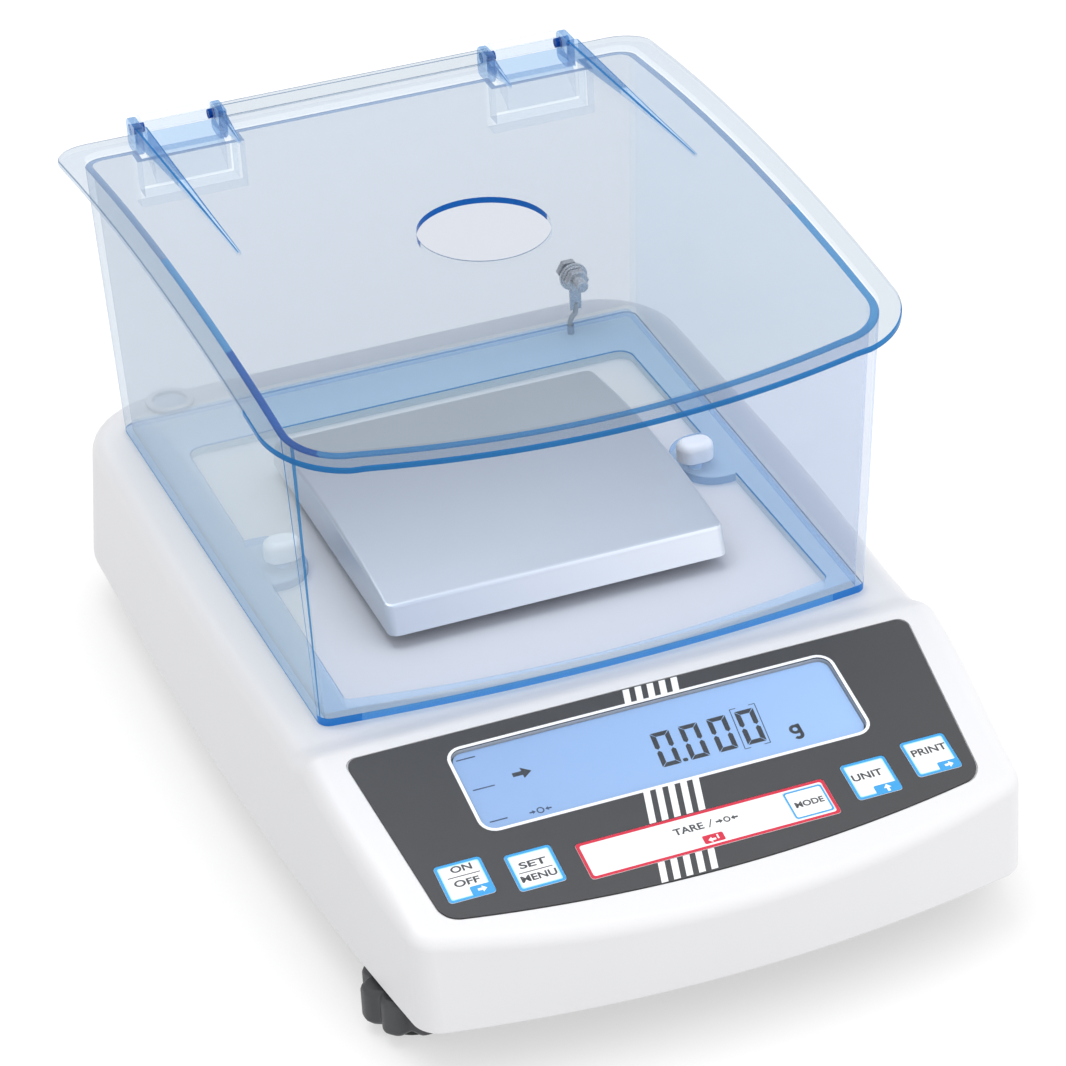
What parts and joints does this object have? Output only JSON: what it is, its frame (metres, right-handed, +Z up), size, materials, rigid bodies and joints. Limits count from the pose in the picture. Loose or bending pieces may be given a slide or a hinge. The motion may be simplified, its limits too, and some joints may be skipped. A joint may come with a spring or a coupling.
{
  "type": "precision balance",
  "caption": "Tabletop precision balance with a sloped keypad front, a crowned steel pan and a clear hinged draft shield with a round hole in its lid.",
  "frame": {"origin": "on the table, under the middle of the housing", "axes": "+Z up, +X to the right of someone facing the keypad, -Y towards the keypad's front"},
  "size_m": [0.2142, 0.3219, 0.1666],
  "materials": {
    "white_plastic": "fine satin moulded",
    "dark_plastic": "moulded",
    "key_white": "smooth",
    "front_foil": "printed foil, satin",
    "display_pane": "clear",
    "clear_blue": "clear moulded, pale blue with deep blue edges",
    "pan_steel": "brushed",
    "machined_steel": "plated",
    "cast_metal": "cast, matte",
    "black_rubber": "matte",
    "circuit_board": "coated board",
    "grey_wire": "insulated lead"
  },
  "bodies": {
    "housing": {"upper_housing": "white_plastic", "base_plate": "cast_metal", "keypad_overlay": "front_foil", "display_window": "display_pane", "lcd_panel": "display_pane", "display_board": "circuit_board", "main_board": "circuit_board", "switch_on_off": "dark_plastic", "switch_menu": "dark_plastic", "switch_tare": "dark_plastic", "switch_mode": "dark_plastic", "switch_unit": "dark_plastic", "switch_print": "dark_plastic", "load_cell": "cast_metal", "load_cell_mount": "machined_steel", "pan_spindle": "machined_steel", "pan_support": "cast_metal", "pan_pad_front_left": "black_rubber", "pan_pad_front_right": "black_rubber", "pan_pad_rear_left": "black_rubber", "pan_pad_rear_right": "black_rubber", "shield_body": "clear_blue", "ground_bolt": "machined_steel", "ground_washer": "machined_steel", "ground_lug": "machined_steel", "ground_nut": "machined_steel", "ground_wire": "grey_wire", "level_cup": "white_plastic", "level_vial": "display_pane", "power_jack": "dark_plastic", "data_port": "machined_steel", "housing_screw_front_left": "machined_steel", "housing_screw_front_right": "machined_steel", "housing_screw_rear_left": "machined_steel", "housing_screw_rear_right": "machined_steel"},
    "lid": {"shield_lid": "clear_blue", "hinge_pin_left": "machined_steel", "hinge_pin_right": "machined_steel"},
    "latch_left": {"shield_latch_left": "key_white", "latch_cam_left": "machined_steel"},
    "latch_right": {"shield_latch_right": "key_white", "latch_cam_right": "machined_steel"},
    "pan": {"weighing_pan": "pan_steel"},
    "on_off_key": {"key_on_off": "key_white"},
    "menu_key": {"key_menu": "key_white"},
    "tare_key": {"key_tare": "key_white"},
    "mode_key": {"key_mode": "key_white"},
    "unit_key": {"key_unit": "key_white"},
    "print_key": {"key_print": "key_white"},
    "foot_front_left": {"foot_pad_front_left": "black_rubber"},
    "foot_front_right": {"foot_pad_front_right": "black_rubber"},
    "foot_rear_left": {"foot_pad_rear_left": "black_rubber"},
    "foot_rear_right": {"foot_pad_rear_right": "black_rubber"},
    "wheel_front_left": {"foot_wheel_front_left": "dark_plastic"},
    "wheel_front_right": {"foot_wheel_front_right": "dark_plastic"},
    "wheel_rear_left": {"foot_wheel_rear_left": "dark_plastic"},
    "wheel_rear_right": {"foot_wheel_rear_right": "dark_plastic"}
  },
  "joints": [
    {"name": "lid_hinge", "type": "hinge", "parent": "housing", "child": "lid", "pos_m": [0, 0.151, 0.1618], "axis": [-1, 0, 0], "range_deg": [0, 100]},
    {"name": "latch_left_turn", "type": "hinge", "parent": "housing", "child": "latch_left", "pos_m": [-0.0694, 0.0366, 0.068], "axis": [0, 0, 1], "range_deg": [0, 90]},
    {"name": "latch_right_turn", "type": "hinge", "parent": "housing", "child": "latch_right", "pos_m": [0.0694, 0.0366, 0.068], "axis": [0, 0, 1], "range_deg": [-90, 0]},
    {"name": "pan_lift", "type": "slide", "parent": "housing", "child": "pan", "axis": [0, 0, 1], "range_m": [0, 0.04]},
    {"name": "on_off_press", "type": "slide", "parent": "housing", "child": "on_off_key", "axis": [0, 0.2267, -0.974], "range_m": [0, 0.0005], "stiffness_N_per_m": 2400},
    {"name": "menu_press", "type": "slide", "parent": "housing", "child": "menu_key", "axis": [0, 0.2267, -0.974], "range_m": [0, 0.0005], "stiffness_N_per_m": 2400},
    {"name": "tare_press", "type": "slide", "parent": "housing", "child": "tare_key", "axis": [0, 0.2267, -0.974], "range_m": [0, 0.0005], "stiffness_N_per_m": 2400},
    {"name": "mode_press", "type": "slide", "parent": "housing", "child": "mode_key", "axis": [0, 0.2267, -0.974], "range_m": [0, 0.0005], "stiffness_N_per_m": 2400},
    {"name": "unit_press", "type": "slide", "parent": "housing", "child": "unit_key", "axis": [0, 0.2267, -0.974], "range_m": [0, 0.0005], "stiffness_N_per_m": 2400},
    {"name": "print_press", "type": "slide", "parent": "housing", "child": "print_key", "axis": [0, 0.2267, -0.974], "range_m": [0, 0.0005], "stiffness_N_per_m": 2400},
    {"name": "foot_front_left_travel", "type": "slide", "parent": "housing", "child": "foot_front_left", "axis": [0, 0, 1], "range_m": [-0.004, 0.002]},
    {"name": "foot_front_right_travel", "type": "slide", "parent": "housing", "child": "foot_front_right", "axis": [0, 0, 1], "range_m": [-0.004, 0.002]},
    {"name": "foot_rear_left_travel", "type": "slide", "parent": "housing", "child": "foot_rear_left", "axis": [0, 0, 1], "range_m": [-0.004, 0.002]},
    {"name": "foot_rear_right_travel", "type": "slide", "parent": "housing", "child": "foot_rear_right", "axis": [0, 0, 1], "range_m": [-0.004, 0.002]},
    {"name": "foot_front_left_turn", "type": "hinge", "parent": "foot_front_left", "child": "wheel_front_left", "pos_m": [-0.0852, -0.116, 0.008], "axis": [0, 0, 1], "range_deg": [-1440, 720]},
    {"name": "foot_front_right_turn", "type": "hinge", "parent": "foot_front_right", "child": "wheel_front_right", "pos_m": [0.0852, -0.116, 0.008], "axis": [0, 0, 1], "range_deg": [-1440, 720]},
    {"name": "foot_rear_left_turn", "type": "hinge", "parent": "foot_rear_left", "child": "wheel_rear_left", "pos_m": [-0.0852, 0.116, 0.008], "axis": [0, 0, 1], "range_deg": [-1440, 720]},
    {"name": "foot_rear_right_turn", "type": "hinge", "parent": "foot_rear_right", "child": "wheel_rear_right", "pos_m": [0.0852, 0.116, 0.008], "axis": [0, 0, 1], "range_deg": [-1440, 720]}
  ],
  "couplings": [
    {"joint": "foot_front_left_turn", "follows": "foot_front_left_travel", "rad_per_m": 6283.1},
    {"joint": "foot_front_right_turn", "follows": "foot_front_right_travel", "rad_per_m": 6283.1},
    {"joint": "foot_rear_left_turn", "follows": "foot_rear_left_travel", "rad_per_m": 6283.1},
    {"joint": "foot_rear_right_turn", "follows": "foot_rear_right_travel", "rad_per_m": 6283.1}
  ]
}
